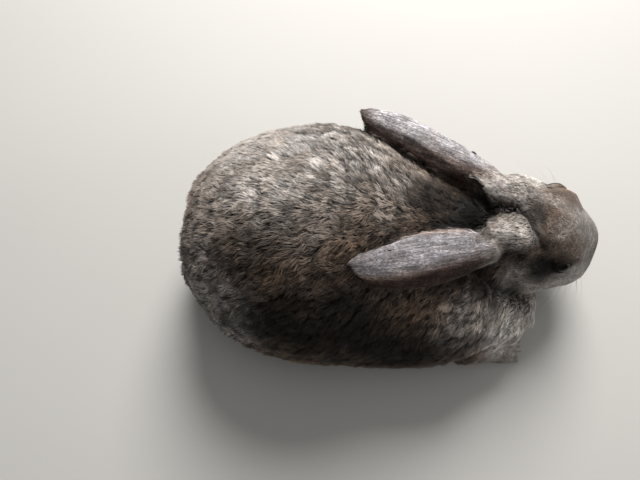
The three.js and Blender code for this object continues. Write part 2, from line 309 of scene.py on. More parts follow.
def from_eye(points, side):
    """How far out from the middle of the lids' opening points lie, where 1 is its edge, and their place and
    direction from the eye's middle."""
    eye = in_head(np.array([middle("eye_left" if side > 0 else "eye_right")]))[0]
    place = in_head(points) - eye
    outward = unit(np.array(EYE_WAYS[side]))
    ahead = unit(np.array((1, 0, -0.12)) - outward * np.dot((1, 0, -0.12), outward))
    up = np.cross(ahead, outward) * -side
    way = unit(place)
    across, height, front = way @ ahead, way @ up, way @ outward
    corner = np.clip(1 - 0.35 * np.abs(across) ** 2, 0.3, 1)
    out = np.sqrt((across / 0.7) ** 2 + (height / (0.62 * corner)) ** 2)
    return np.where(front > 0.15, out, 9.0), place, way


def near_spots(points, spots, reach):
    """From 0 to 1, how near points are to spots on both sides of the head, in its own frame."""
    place = in_head(points)
    place[:, 1] = np.abs(place[:, 1])
    return np.max([np.exp(-np.sum((place - spot) ** 2, axis=1) / reach**2) for spot in spots], axis=0)


EAR_ROOTS = ((-90, 8, 27), (-96, 18, 26))  # where the fluffy fur between and behind the ears' bases grows
TOE_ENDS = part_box("hind_foot_right")[1][0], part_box("foreleg_right")[1][0]


# Depth of the coat, length and width of its tufts in millimetres, how many degrees they lift, and how dense
# they are. On the body, the first three are settings.
FACE_COAT, NAPE_COAT = np.array((1.2, 2.4, 0.42, 12, 2.3)), np.array((3.4, 6.2, 0.62, 17, 1.4))
OTHER_COATS = {EAR: (0.7, 3.6, 0.48, 8, 1.7), FOOT: (1.8, 5.5, 0.6, 13, 1.6), TAIL: (5, 11, 1, 38, 1.2)}
BODY_LIFT, BODY_DENSE = 27.0, 1.0


def measures(points, normals, kinds, coat):
    """The coat's measures at each point. It is thin where the body rests, and fluffy at the ears' roots."""
    back = smoothstep(20, -105, in_head(points)[:, 0])
    sizes = (coat.body_depth / MM, coat.body_length / MM, coat.tuft_width / MM)
    table = np.tile(np.array((*sizes, BODY_LIFT, BODY_DENSE)), (len(points), 1))
    head = kinds == HEAD
    table[head] = (FACE_COAT + (NAPE_COAT - FACE_COAT) * back[:, None] ** 1.3)[head]
    for kind, row in OTHER_COATS.items():
        table[kinds == kind] = row
    under = smoothstep(0.45, 0.85, -normals[:, 2]) * smoothstep(0.05, 0.02, points[:, 2])
    fluffy = near_spots(points, EAR_ROOTS, 9)
    depth, length, width, lift, dense = table.T
    calm = smoothstep(-0.02, 0.05, points[:, 1]) * smoothstep(-0.04, -0.09, points[:, 0])
    calm = np.maximum(calm, smoothstep(0.06, 0.1, points[:, 0]))
    toes = (kinds == FOOT) * smoothstep(-0.02, -0.004, points[:, 0] - np.where(points[:, 0] < 0, *TOE_ENDS))
    return {
        "ruffle": np.where(head, 0.26 + 0.12 * back, 1 - 0.55 * calm),
        "depth": depth * (1 - 0.75 * under),
        "length": length * (1 - 0.4 * under) * (1 + 0.35 * fluffy + 0.9 * toes),
        "width": width,
        "lift": lift * (1 + 0.7 * fluffy),
        "dense": dense * (1 - 0.75 * under),
    }


# ---- The skin ----
SKIN_FACES = 180000  # what the skin is thinned to, because a piece stays under 200,000 triangles
NODE_GROWTH = 0.35  # how many millimetres the skin's copies of the solids grow, so that they meet
SOFTNESS = np.array((0.55, 0.58, 0.12, 0.3, 0.4))  # how much flesh is evened, in the order of its kinds
RESTORED = 1.5 * MM  # the most of its lost thickness that evened flesh gets back
SKIN_LOWEST, TUFT_LOWEST = 0.6 * MM, 0.3 * MM  # what lies lower is lifted to here, clear of the floor


def drawn(points, line, width):
    """From 0 to 1, how near points are to a line given in the head's own frame and drawn onto the surface."""
    steps = np.linspace(0, len(line) - 1, 28)
    line = np.stack([np.interp(steps, range(len(line)), column) for column in np.array(line, float).T], 1)
    place = in_head(points)
    near = np.flatnonzero(np.linalg.norm(place - line.mean(0), axis=1) < 50)
    snapped = place[near][np.linalg.norm(place[near][None] - line[:, None], axis=2).argmin(1)]
    gap = np.linalg.norm(place[near][None] - snapped[:, None], axis=2).min(0)
    found = np.zeros(len(points))
    found[near] = np.exp(-((gap / width) ** 2))
    return found


def carved(points, normals, line, width, depth):
    """Points sunk along a line, in millimetres."""
    return points - normals * (depth * drawn(points, line, width) * MM)[:, None]


# Lines on the left of the head, in its own frame: from between the ears round the front of an ear's base, under
# the jowl, below the ear's base, up the valley between the bases, behind the eye, and at the nose and mouth.
CREASE = (
    (-84, -3, 17), (-73, -5, 22), (-62, -2, 31), (-56, 6, 37), (-51, 15, 39), (-42, 22, 35), (-33, 28, 26)
)
CRESCENT = ((-90, 52, 13), (-76, 53, 10), (-62, 59, 2), (-48, 60, -8), (-32, 60, -16), (-10, 60, -25))
PIT = ((-66, 39, 20), (-58, 40, 20), (-48, 39, 18))
VALLEY = ((-88, 0, 16), (-76, 0, 20), (-64, 0, 28), (-54, 0, 36))
EYE_HOLLOW = ((-34, 34, 20), (-24, 36, 15), (-19, 35, 18))
NOSTRIL = ((51, 1.6, -14.5), (51, 4.2, -12.2), (48, 7.0, -9.6))
CLEFT = ((53, 0, -13), (52, 0, -18), (50, 0, -24))
LIP = ((50, 0, -24), (48, 5, -27.5), (43, 10, -30), (34, 15, -31.5), (24, 18, -31))
# Folds: the line, how wide it is, and how deep on the left and on the right, in millimetres.
FOLDS = ((CREASE, 2.6, 0.8, 3.0), (CRESCENT, 5.0, 5.0, 5.0), (PIT, 5.0, 3.0, 4.5), (EYE_HOLLOW, 6.5, 2.2, 2.2))


def mirrored(line, side):
    return [(x, side * y, z) for x, y, z in line]


LID, SOCKET = 0.85, 1.5  # how thick a lid is, and how far the skin lies behind the open eyeball, in millimetres
LID_REACH = 2.2  # how far out the lids reach, where 1 is the edge of their opening


def with_lids(points, side):
    """Points drawn over the eyeball to form its lids, and sunk behind it where it shows."""
    out, place, way = from_eye(points, side)
    far = np.linalg.norm(place, axis=1)
    ball = EYE_RADIUS / MM
    near = far < ball + 9
    fade = 1 - smoothstep(1.5, LID_REACH, out)
    lid = far + fade * (np.maximum(far, ball + LID) - far)
    wanted = np.where(out < 0.98, np.minimum(far, ball - SOCKET), lid)
    moved = points.copy()
    chosen = near & (out < LID_REACH)
    moved[chosen] += (way * (wanted - far)[:, None] * MM @ HEAD_AXES)[chosen]
    return moved


class RABBIT_OT_skin(bpy.types.Operator):
    """One skin over all the flesh, inside the solids by the depth of the coat, with lids, nostrils and lips"""

    bl_idname = "rabbit.skin"
    bl_label = "Skin"

    def execute(self, context):
        coat = context.scene.rabbit_coat
        skin = add_object("skin", copied("skin", (*FLESH, *EYES), NODE_GROWTH))
        even = skin.modifiers.new("even", "REMESH")
        even.mode, even.voxel_size = "VOXEL", coat.skin_grain
        mesh = applied(skin)

        self.smooth(mesh)
        self.sink(mesh, coat)
        self.refine_face(mesh)
        self.shape_face(mesh)
        self.thin_out(skin)
        work = bmesh.new()
        work.from_mesh(skin.data)
        bmesh.ops.triangulate(work, faces=work.faces)
        work.to_mesh(skin.data)
        work.free()
        skin.data.shade_smooth()
        skin.data.materials.append(furred_skin(context.scene.rabbit_colours))
        mark_skin(skin.data, context.scene.rabbit_colours)
        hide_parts(*FLESH)
        return {"FINISHED"}

    def smooth(self, mesh):
        """Evens out the solids' facets, most at the ears' roots, and gives back the thickness that it takes."""
        points, edges = points_of(mesh), edges_of(mesh)
        kinds = kinds_at(points)
        soft = SOFTNESS[kinds]
        share, _ = by_ear(points, EarLine.place).T
        soft += 0.38 * (kinds == EAR) * smoothstep(0.82, 0.97, share)
        soft = evened(points, edges, 34, evened(soft, edges, 10))
        set_points(mesh, soft)
        normals = normals_of(mesh)
        lost = np.clip(np.sum((points - soft) * normals, axis=1), -RESTORED, RESTORED)
        set_points(mesh, soft + normals * evened(lost, edges, 24)[:, None])

    def sink(self, mesh, coat):
        """Moves the skin in by the coat's depth, and keeps it off the floor."""
        points, normals, edges = points_of(mesh), normals_of(mesh), edges_of(mesh)
        depth = evened(measures(points, normals, kinds_at(points), coat)["depth"], edges, 22)
        inward = evened(normals, edges, 4)
        moved = points - unit(inward) * depth[:, None] * MM
        moved[:, 2] = np.maximum(moved[:, 2], SKIN_LOWEST)
        set_points(mesh, evened(moved, edges, 3, 0.4))

    def refine_face(self, mesh):
        """Halves the mesh's spacing at the nose and lips and round the eyes."""
        points = points_of(mesh)
        place = in_head(points)
        fine = (place[:, 0] > 22) & (np.abs(place[:, 1]) < 24) & (place[:, 2] < 4) & (place[:, 2] > -40)
        for side in (1, -1):
            fine |= np.linalg.norm(from_eye(points, side)[1], axis=1) < 14.5
        work = bmesh.new()
        work.from_mesh(mesh)
        chosen = [e for e in work.edges if fine[e.verts[0].index] and fine[e.verts[1].index]]
        bmesh.ops.subdivide_edges(work, edges=chosen, cuts=1, use_grid_fill=True)
        bmesh.ops.triangulate(work, faces=[f for f in work.faces if len(f.verts) > 4])
        work.to_mesh(mesh)
        work.free()

    def shape_face(self, mesh):
        """Raises the valley between the ears, then carves the folds, the lids, the nostrils and the lips."""
        points = carved(points_of(mesh), normals_of(mesh), VALLEY, 9, -6)
        set_points(mesh, points)
        normals = normals_of(mesh)
        for hand, side in enumerate((1, -1)):
            for line, width, *depths in FOLDS:
                points = carved(points, normals, mirrored(line, side), width, depths[hand])
            points = with_lids(points, side)
            for line, width, depth in ((NOSTRIL, 1.1, 2.6), (LIP, 1.0, 1.5)):
                points = carved(points, normals, mirrored(line, side), width, depth)
        set_points(mesh, carved(points, normals, CLEFT, 0.9, 1.5))

    def thin_out(self, skin):
        """Thins the skin out where it is flat."""
        fewer = skin.modifiers.new("fewer", "DECIMATE")
        fewer.ratio = SKIN_FACES / sum(len(p.vertices) - 2 for p in skin.data.polygons)
        applied(skin)


def set_attribute(mesh, name, values):
    values = np.asarray(values, np.float32)
    kind, field = ("FLOAT_COLOR", "color") if values.ndim == 2 else ("FLOAT", "value")
    mesh.attributes.new(name, kind, "POINT").data.foreach_set(field, values.ravel())


def lid_rims(points):
    """From 0 to 1, how near points are to the rim of a lid."""
    rims = np.zeros(len(points))
    for side in (1, -1):
        out, place, _ = from_eye(points, side)
        rims = np.maximum(rims, (1 - smoothstep(1.08, 1.4, out)) * (np.linalg.norm(place, axis=1) < 13))
    return rims


# ---- Markings, with some painted light and shade, which skin and coat share ----
def tinted(colour, much, tint):
    """Colours mixed towards a tint, by a share for each point."""
    return colour + much[:, None] * (np.array(tint) - colour)


def ear_colours(points, normals, colours):
    """Blue-grey backs, with painted light on the left ear's back, that turn brown and then dark towards the
    ear's lower side: partly the brown inner skin, partly painted shade where the ear faces down, away from the
    key light. And a pale upper rim.
    """
    share, across = by_ear(points, EarLine.place).T
    left = points[:, 1] > EAR_SPLIT
    inside = np.where(left, smoothstep(-0.85, -1.05, across), smoothstep(-0.85, -1.05, across - 0.9 * share))
    # Where the ear faces down it takes its inner brown: partly its turned-under inner side, partly painted shade
    # away from the key light.
    inside = np.maximum(inside, smoothstep(0.1, -0.35, normals[:, 2]) * smoothstep(0.9, 0.6, across))
    inside = np.maximum(inside, left * smoothstep(0.07, 0.0, share))
    # Brown towards the lower side: partly the ear's own brown, partly painted shade of the side turned from the
    # key light.
    brown = np.where(left, smoothstep(-0.2, -0.6, across), smoothstep(-0.65, -0.95, across - 0.75 * share))
    middle_part = smoothstep(0.1, 0.3, share) * smoothstep(0.85, 0.55, share)
    rim = np.where(left, 0.0, smoothstep(0.72, 0.9, across)) * middle_part
    tip = smoothstep(0.2, 0.04, share)
    found = np.tile(np.array(colours.ear), (len(points), 1))
    root = smoothstep(0.8, 0.98, share)
    for much, tint in (
        # Painted light on the left ear's back, which faces the key light.
        (0.9 * left * smoothstep(-0.6, 0.0, across), colours.ear_painted_light),
        (np.where(left, 0.65, 0.85) * brown, colours.ear_brown),
        (inside, colours.ear_inside),
        (rim, colours.rim),
        (np.where(left, 0.9, 0.4) * tip, colours.ear_inside),
        (0.8 * root, colours.ear_base),
    ):
        found = tinted(found, much, tint)
    return found


def on_trunk(patches):
    """Patches whose middles are shares of the trunk's box, with y from -1 on the right to 1 on the left."""
    long, wide, high = BODY_HIGH[0] - BODY_LOW[0], BODY_HIGH[1] - BODY_LOW[1], BODY_HIGH[2]
    for (x, y, z), radii, tint, strength in patches:
        yield BODY_LOW + (x * long, (y + 1) / 2 * wide, z * high), radii, np.eye(3), tint, strength


def on_head(patches, sides):
    """Patches given in millimetres in the head's own frame, on one side of it or both."""
    for side in sides:
        for (x, y, z), radii, tint, *strengths in patches:
            strength = strengths[-1] if side < 0 else strengths[0]
            yield from_head(x, side * y, z), np.array(radii) * MM, HEAD_AXES, tint, strength


def patches(colours):
    """Soft round patches of colour, each over the one before: middle, radii, axes, tint and strength. Some stand
    for painted light or shade, as noted at each. Where two strengths are given, they are those on the left and
    on the right."""
    pale, dark, base = colours.pale, colours.dark, colours.ear_base
    yield from on_trunk((
        # Pale on the left of the rump: partly its paler fur, partly painted light on the side that faces the key
        # light.
        ((0.27, 0.6, 0.82), (0.12, 0.075, 0.08), pale, 0.85),
        ((0.1, -0.6, 0.62), (0.06, 0.055, 0.06), pale, 0.95),
        ((0.08, 0, 0.8), (0.03, 0.03, 0.05), pale, 0.6),
        ((0.07, 0.2, 0.86), (0.035, 0.05, 0.05), colours.back, 0.6),
        # Dark on the hump right of the spine and on the right flank: partly dark fur, partly painted shade of
        # the side turned from the key light.
        ((0.22, -0.25, 0.93), (0.035, 0.03, 0.05), dark, 0.6),
        ((0.4, -0.2, 1), (0.06, 0.035, 0.05), dark, 0.35),
        ((0.4, -0.72, 0.8), (0.075, 0.036, 0.05), dark, 0.92),
        ((0.6, -0.9, 0.55), (0.05, 0.03, 0.04), dark, 0.85),
        ((0.45, 0.95, 0.4), (0.09, 0.04, 0.05), dark, 0.5),
        ((0.81, -0.66, 0.6), (0.044, 0.036, 0.045), pale, 0.68),
        # Dark on the low right shoulder: partly dark fur, partly painted shade of the side turned from the key
        # light.
        ((0.74, -0.86, 0.52), (0.028, 0.03, 0.032), dark, 0.4),
        ((0.94, -0.7, 0.38), (0.036, 0.045, 0.05), colours.chest, 1.0),
        ((0.93, 0.7, 0.38), (0.04, 0.04, 0.05), colours.chest, 1.0),
    ))
    # Paler on the left behind the crown: painted light where the left ear's base faces the key light.
    yield from on_head((((-60, 24, 34), (30, 20, 20), pale, 0.6),), sides=(1,))
    face = (
        ((34, 0, 4), (30, 36, 36), pale, 0.5),
        ((-36, 48, 2), (24, 14, 14), pale, 0.9),
        ((4, 0, 31), (24, 15, 12), pale, 0.4),
        ((-80, 20, 33), (30, 22, 22), base, 1.0),
        ((-58, 18, 38), (16, 14, 14), base, 0.75),
        ((-47, 4, 38), (12, 9, 10), dark, 0.7),
        ((-22, 14, 38), (10, 9, 9), pale, 0.4),
        # Dark round the eyes: a little dark fur on the left, and on the right painted shade under the brow, on
        # the side turned from the key light.
        ((-21, 38, 10), (18, 14, 13), dark, 0.2, 1.0),
        ((14, 42, -4), (24, 14, 16), pale, 0.92),
        ((20, 38, -7), (22, 14, 18), colours.chest, 0.4),
        ((30, 0, -40), (34, 30, 18), pale, 0.6),
    )
    yield from on_head(face, sides=(1, -1))
    # Painted shadow of the ears on the back between their roots, darkest in its middle.
    yield from on_trunk((
        ((0.72, 0.2, 0.78), (0.042, 0.026, 0.035), dark, 0.9),
        ((0.77, 0.17, 0.75), (0.018, 0.014, 0.022), 0.4 * np.array(dark), 1.0),
    ))


# Slow waves in the coat's tone: radians per metre along x, y and z, and where each starts.
WAVES = ((60, 35, 22, 0.3), (-38, 95, 50, 1.9), (140, -60, 90, 4.1))


def coat_colours(points, normals, kinds, colours):
    """The coat's colour at each point, before the ticking of its hairs: its markings, with painted light and
    shade in places.
    """
    wander = sum(np.sin(points @ np.array(wave) + start) for *wave, start in WAVES) / len(WAVES)
    warm = (0.5 + 0.5 * wander) * np.where(kinds == HEAD, 0.5, 1)
    found = tinted(np.array(colours.back), warm, colours.warm)
    for centre, radii, axes, tint, strength in patches(colours):
        far = np.linalg.norm((points - centre) @ axes.T / radii, axis=1) + 0.12 * wander
        found = tinted(found, strength * smoothstep(1.35, 0.55, far), tint)
    found = tinted(found, 0.7 * smoothstep(0.046, 0.012, points[:, 2] + 0.004 * wander), colours.belly)
    # Painted shade in the crease and the pit on the right, and the crescent under the jowls, darker on the
    # right, the side turned from the key light.
    for line, width, strength in (
        (mirrored(CREASE, -1), 2.0, 0.95),
        (mirrored(PIT, -1), 7.5, 1.0),
        (mirrored(CRESCENT, -1), 10, 0.95),
        (mirrored(CRESCENT, 1), 8, 0.7),
    ):
        found = tinted(found, strength * drawn(points, line, width), colours.dark)
    for side in (1, -1):
        out, _, way = from_eye(points, side)
        ring = smoothstep(1.35, 1.6, out) * smoothstep(2.3, 1.9, out)
        ring = ring * smoothstep(0, 0.6, way[:, 0] - way[:, 2])
        found = tinted(found, 0.6 * ring, colours.pale)
    ear = (kinds == EAR)[:, None]
    return np.where(ear, ear_colours(points, normals, colours), found)


def mark_skin(mesh, colours):
    points, normals, edges = points_of(mesh), normals_of(mesh), edges_of(mesh)
    kinds = kinds_at(points)
    set_attribute(mesh, "coat_colour", evened(coat_colours(points, normals, kinds, colours), edges, 4))
    velvet = np.where(kinds == HEAD, smoothstep(-55, 10, in_head(points)[:, 0]), kinds == EAR)
    set_attribute(mesh, "velvet", evened(velvet, edges, 6))
    set_attribute(mesh, "lid", evened(lid_rims(points), edges, 3))


# ---- The coat ----
# A tuft is a closed leaf: its root, a ring of three points (left, right and top) and its tip.
TUFT_FACES = np.array(((0, 2, 1), (0, 3, 2), (0, 1, 3), (1, 2, 4), (2, 3, 4), (3, 1, 4)))
RING = 0.45  # how far along the tuft the ring lies
TUFT_ALONG = np.array((0, RING, RING, RING, 1))
TUFT_PATCH = np.array(((0.5, 0), (0, 0.5), (1, 0.5), (0.5, 0.7), (0.5, 1))) - 0.5
PATCH = 0.003  # how far across the OFBake map a tuft's own patch is
LOCK, CLUMP = 10, 130  # how many tufts gather in a lock, and in a clump
ROUGH = np.array((1.0, 0.6, 0.2, 0.5, 1.0))  # how ruffled the coat is, in the order of the kinds of flesh
ROOT_DEPTH = 0.4 * MM  # how far a tuft starts below the skin
CRUSHED = 1.2 * MM  # a tuft that stays below this height lies under the rabbit, and is left out


def turned(vectors, axes, angles):
    """Vectors turned about the axes that they stand square to."""
    return vectors * np.cos(angles)[:, None] + np.cross(axes, vectors) * np.sin(angles)[:, None]


def gathered(rng, places, many):
    """Places shared out among random heads: each one's head, and how far in from its share's edge it lies."""
    heads = rng.permutation(len(places))[: len(places) // many]
    tree = KDTree(len(heads))
    for i, place in enumerate(places[heads].tolist()):
        tree.insert(place, i)
    tree.balance()
    found = [tree.find_n(place, 2) for place in places.tolist()]
    mine = np.array([pair[0][1] for pair in found])
    return heads, mine, np.array([pair[1][2] - pair[0][2] for pair in found]) / MM


def scattered(rng, points, corners, dense, count):
    """Places spread evenly over triangles, by their size and how dense the coat is on them: each one's triangle,
    and its shares of that triangle's corners."""
    a, b, c = points[corners].transpose(1, 0, 2)
    weights = np.linalg.norm(np.cross(b - a, c - a), axis=1) * dense[corners].min(1)
    sums = np.cumsum(weights)
    chosen = np.searchsorted(sums, (np.arange(count) + rng.random(count)) / count * sums[-1])
    u, v = rng.random((2, count))
    over = u + v > 1
    u[over], v[over] = 1 - u[over], 1 - v[over]
    return np.minimum(chosen, len(corners) - 1), np.stack([1 - u - v, u, v], 1)


class Tufts:
    """Every tuft's root on the skin, its shape and its marks, as arrays."""

    def __init__(self, mesh, coat):
        self.rng = np.random.default_rng(coat.seed)
        points, normals, edges = points_of(mesh), normals_of(mesh), edges_of(mesh)
        kinds = kinds_at(points)
        values = {n: evened(v, edges, 8) for n, v in measures(points, normals, kinds, coat).items()}
        colour = np.empty(len(points) * 4, np.float32)
        mesh.attributes["coat_colour"].data.foreach_get("color", colour)
        values["colour"] = colour.reshape(-1, 4)
        lie = evened(lie_of_coat(points, normals, kinds), edges, 14)
        corners = np.empty(len(mesh.polygons) * 3, np.int32)
        mesh.polygons.foreach_get("vertices", corners)
        corners = corners.reshape(-1, 3)
        dense = values.pop("dense") * (lid_rims(points) < 0.05)
        chosen, shares = scattered(self.rng, points, corners, dense, coat.tufts)

        def at(field):
            return np.einsum("ij,ij...->i...", shares, field[corners[chosen]])

        self.root, self.normal = at(points), unit(at(normals))
        self.kind = kinds[corners[chosen, 0]]
        self.lie = along(self.root, self.normal, at(lie))
        for name, field in values.items():
            setattr(self, name, at(field))
        self.flatten_by_ears()
        self.shape()

    def flatten_by_ears(self):
        """Tufts of the back lie flat where an ear rests on them, and are darkened there as painted shadow of the
        ear.
        """
        tree, _ = node_tree(["ear_left", "ear_right"])
        body = np.flatnonzero(self.kind == BODY)
        gap = np.array([tree.find_nearest(p, 0.03)[3] or 0.03 for p in self.root[body].tolist()]) / MM
        free = smoothstep(2.0, 11.0, gap)
        self.lift[body] *= 0.2 + 0.8 * free
        self.length[body] *= 0.5 + 0.5 * free
        self.shaded = np.where(self.kind == HEAD, 1.08, 1.0)
        # Painted shadow of the ears on the back's tufts next to them.
        self.shaded[body] = 0.4 + 0.6 * smoothstep(2.0, 13.0, gap)

    def shape(self):
        """Sets each tuft's five points, and its tone, from its own lock and clump and a little chance."""
        rng, count = self.rng, len(self.root)
        heads, lock, lock_edge = gathered(rng, self.root, LOCK)
        clumps, clump, clump_edge = gathered(rng, self.root, CLUMP)
        own, locks, tufts = (rng.standard_normal((4, n)) for n in (len(clumps), len(heads), count))
        turn, rise, stretch, shade = 0.6 * own[:, clump] + 0.6 * locks[:, lock] + 0.5 * tufts
        rough = ROUGH[self.kind] * self.ruffle
        way = turned(self.lie, self.normal, 0.4 * rough * turn)
        lift = np.clip(np.radians(self.lift) * (1 + 0.32 * rough * rise), 0.05, 0.75)
        reach = (self.length * MM * np.clip(1 + 0.16 * stretch, 0.5, 1.25))[:, None]

        def out(share, angle):
            lean = way * np.cos(angle)[:, None] + self.normal * np.sin(angle)[:, None]
            return self.root + share * reach * lean

        ring, tip = out(RING, 1.3 * lift), out(1.0, 0.75 * lift)
        pull = tip[heads][lock] - tip
        near = np.linalg.norm(pull, axis=1, keepdims=True) < 0.6 * reach
        tip += near * (rough * rng.uniform(0.05, 0.4, count))[:, None] * pull
        across = unit(np.cross(self.normal, way))
        half = across * (self.width * MM * rng.uniform(0.35, 0.62, count))[:, None]
        top = self.normal * np.linalg.norm(half, axis=1, keepdims=True) * 0.7
        start = self.root - ROOT_DEPTH * self.normal
        self.points = np.stack([start, ring - half, ring + half, ring + top, tip], 1)
        self.points[..., 2] = np.maximum(self.points[..., 2], TUFT_LOWEST)
        tilt = 0.45 * across
        face = self.normal - (0.25 + 0.3 * rough * rise)[:, None] * way + (0.3 * rough * turn)[:, None] * across
        face = unit(face)
        self.facing = unit(np.stack([self.normal, face - tilt, face + tilt, face, self.normal], 1))
        # Tufts at the edges of clumps and locks are darkened: painted shade in the gaps between them.
        painted_gap_shade = 0.62 * smoothstep(2.6, 0, clump_edge) + 0.25 * smoothstep(0.6, 0, lock_edge)
        mottle = 0.5 * np.maximum(rough, np.where(self.kind == HEAD, 0.6, 0.25))
        self.tone = np.minimum(np.exp(mottle * shade), 1.5) * (1 - rough * painted_gap_shade)
        self.tone *= np.where(self.kind == EAR, self.ear_streaks(), self.shaded)
        self.warm = np.clip(0.5 + 0.2 * own[0][clump] + 0.15 * locks[1][lock] + 0.15 * tufts[2], 0, 1)
        self.keep = self.clear_of_eyes() & (self.points[:, :, 2].max(1) > CRUSHED)

    def ear_streaks(self):
        """Fine darker streaks that run along the ears."""
        share, across = by_ear(self.root, EarLine.place).T
        rows, shift = (across * 24).astype(int) % 97, self.rng.random(97)
        columns = (share * 9 + shift[rows]).astype(int) % 17
        return 1 + 0.28 * self.rng.standard_normal((97, 17))[rows, columns]

    def clear_of_eyes(self):
        clear = np.ones(len(self.root), bool)
        for eye in EYES:
            centre = np.array(middle(eye))
            for part in (1, 4):
                clear &= np.linalg.norm(self.points[:, part] - centre, axis=1) > EYE_RADIUS + 0.5 * MM
        return clear

    def pieces(self):
        """Which tufts go in which piece of the coat."""
        x = (self.root[:, 0] - BODY_LOW[0]) / (BODY_HIGH[0] - BODY_LOW[0])
        y, z = self.root[:, 1] - spine_y(self.root[:, 0]), self.root[:, 2] - 0.06
        slope = np.degrees(np.arctan2(y, z))
        hands = {"left": y > 0, "right": y <= 0}
        left, head_left = self.root[:, 1] > EAR_SPLIT, in_head(self.root)[:, 1] > 0
        body = self.kind == BODY
        back = body & (x > 0.24) & (x < 0.8) & (np.abs(slope) < 45)
        yield "coat_back", back & (x < 0.52)
        yield "coat_withers", back & (x >= 0.52)
        yield "coat_tail", self.kind == TAIL
        for hand, near, face in (("left", left, head_left), ("right", ~left, ~head_left)):
            side = body & ~back & hands[hand]
            yield f"coat_rump_{hand}", side & (x <= 0.24)
            yield f"coat_thigh_{hand}", side & (x > 0.24) & (x <= 0.52)
            yield f"coat_flank_{hand}", side & (x > 0.52) & (x < 0.8)
            yield f"coat_chest_{hand}", side & (x >= 0.8)
            yield f"coat_head_{hand}", (self.kind == HEAD) & face
            yield f"coat_ear_{hand}", (self.kind == EAR) & near
            foot = (self.kind == FOOT) & hands[hand]
            yield f"coat_hind_foot_{hand}", foot & (self.root[:, 0] < 0)
            yield f"coat_foreleg_{hand}", foot & (self.root[:, 0] >= 0)


def unwrapped(roots, tube):
    """The skin rolled out flat: a tube by its length and the way round it, any other form from its middle."""
    centre = (roots.min(0) + roots.max(0)) / 2
    _, _, axes = np.linalg.svd(roots - roots.mean(0), full_matrices=False)
    if tube:
        place = (roots - roots.mean(0)) @ axes.T
        flat = np.stack([place[:, 0], np.arctan2(place[:, 1], place[:, 2]) * 0.02], 1)
    else:
        inside = centre + 0.35 * (np.array((0, 0, 0.06)) - centre) * (np.linalg.norm(centre[:2]) > 0.02)
        way = unit(roots - inside)
        out = unit(way.mean(0))
        first = unit(np.cross(out, (0.1, 0.2, 1)))
        second = np.cross(out, first)
        angle = np.arccos(np.clip(way @ out, -1, 1))
        flat = unit(np.stack([way @ first, way @ second], 1)) * angle[:, None]
    low, high = flat.min(0), flat.max(0)
    return 0.01 + 0.98 * (flat - low) / (high - low)


def tuft_mesh(name, tufts, chosen, tube):
    """One mesh of all the chosen tufts, with their marks and their places on the OFBake map."""
    count, corners_each = len(chosen), len(TUFT_ALONG)
    mesh = bpy.data.meshes.new(name)
    mesh.vertices.add(count * corners_each)
    mesh.vertices.foreach_set("co", tufts.points[chosen].astype(np.float32).ravel())
    corners = (np.arange(count)[:, None, None] * corners_each + TUFT_FACES).astype(np.int32).ravel()
    faces = len(corners) // 3
    mesh.loops.add(len(corners))
    mesh.loops.foreach_set("vertex_index", corners)
    mesh.polygons.add(faces)
    mesh.polygons.foreach_set("loop_start", np.arange(faces, dtype=np.int32) * 3)
    mesh.update(calc_edges=True)
    mesh.shade_smooth()
    set_attribute(mesh, "coat_colour", np.repeat(tufts.colour[chosen], corners_each, axis=0))
    for mark in ("tone", "warm"):
        set_attribute(mesh, mark, np.repeat(getattr(tufts, mark)[chosen], corners_each))
    set_attribute(mesh, "along", np.tile(TUFT_ALONG, count))
    places = unwrapped(tufts.root[chosen], tube)[:, None] + TUFT_PATCH * PATCH
    layer = mesh.uv_layers.new(name="OFBake")
    layer.data.foreach_set("uv", np.clip(places.reshape(-1, 2)[corners], 0, 1).astype(np.float32).ravel())
    mesh.normals_split_custom_set_from_vertices(tufts.facing[chosen].reshape(-1, 3).tolist())
    return mesh


COAT_SLOTS = {"head": "head_fur", "ear": "ear_fur", "tail": "tail_fur", "foot": "foot_fur", "leg": "foot_fur"}


class RABBIT_OT_coat(bpy.types.Operator):
    """Thin closed tufts over the whole skin, which follow the lie of the coat and gather in locks"""

    bl_idname = "rabbit.coat"
    bl_label = "Coat"

    def execute(self, context):
        tufts = Tufts(bpy.data.objects["skin"].data, context.scene.rabbit_coat)
        fur = fur_material(context.scene.rabbit_colours)
        for name, chosen in tufts.pieces():
            chosen = np.flatnonzero(chosen & tufts.keep)
            tube = any(part in name for part in ("ear", "foot", "leg"))
            mesh = tuft_mesh(name, tufts, chosen, tube)
            mesh.materials.append(fur)
            made = add_object(name, mesh)
            next((slot for part, slot in COAT_SLOTS.items() if part in name), "body_fur")
        return {"FINISHED"}


# ---- Materials ----
# What a Mix node needs to mix colours. Its socket 0 is then the share, 6 and 7 are the colours, and output 2 is
# the mixed colour.
MIX = {"out": 2, "data_type": "RGBA"}


def new_material(name, finish):
    """A material whose shader has a finish, the constant values of its sockets."""
    material = bpy.data.materials.new(name)
    material.use_nodes = True
    shader = material.node_tree.nodes["Principled BSDF"]
    for socket, value in finish.items():
        shader.inputs[socket].default_value = value
    return material, material.node_tree, shader


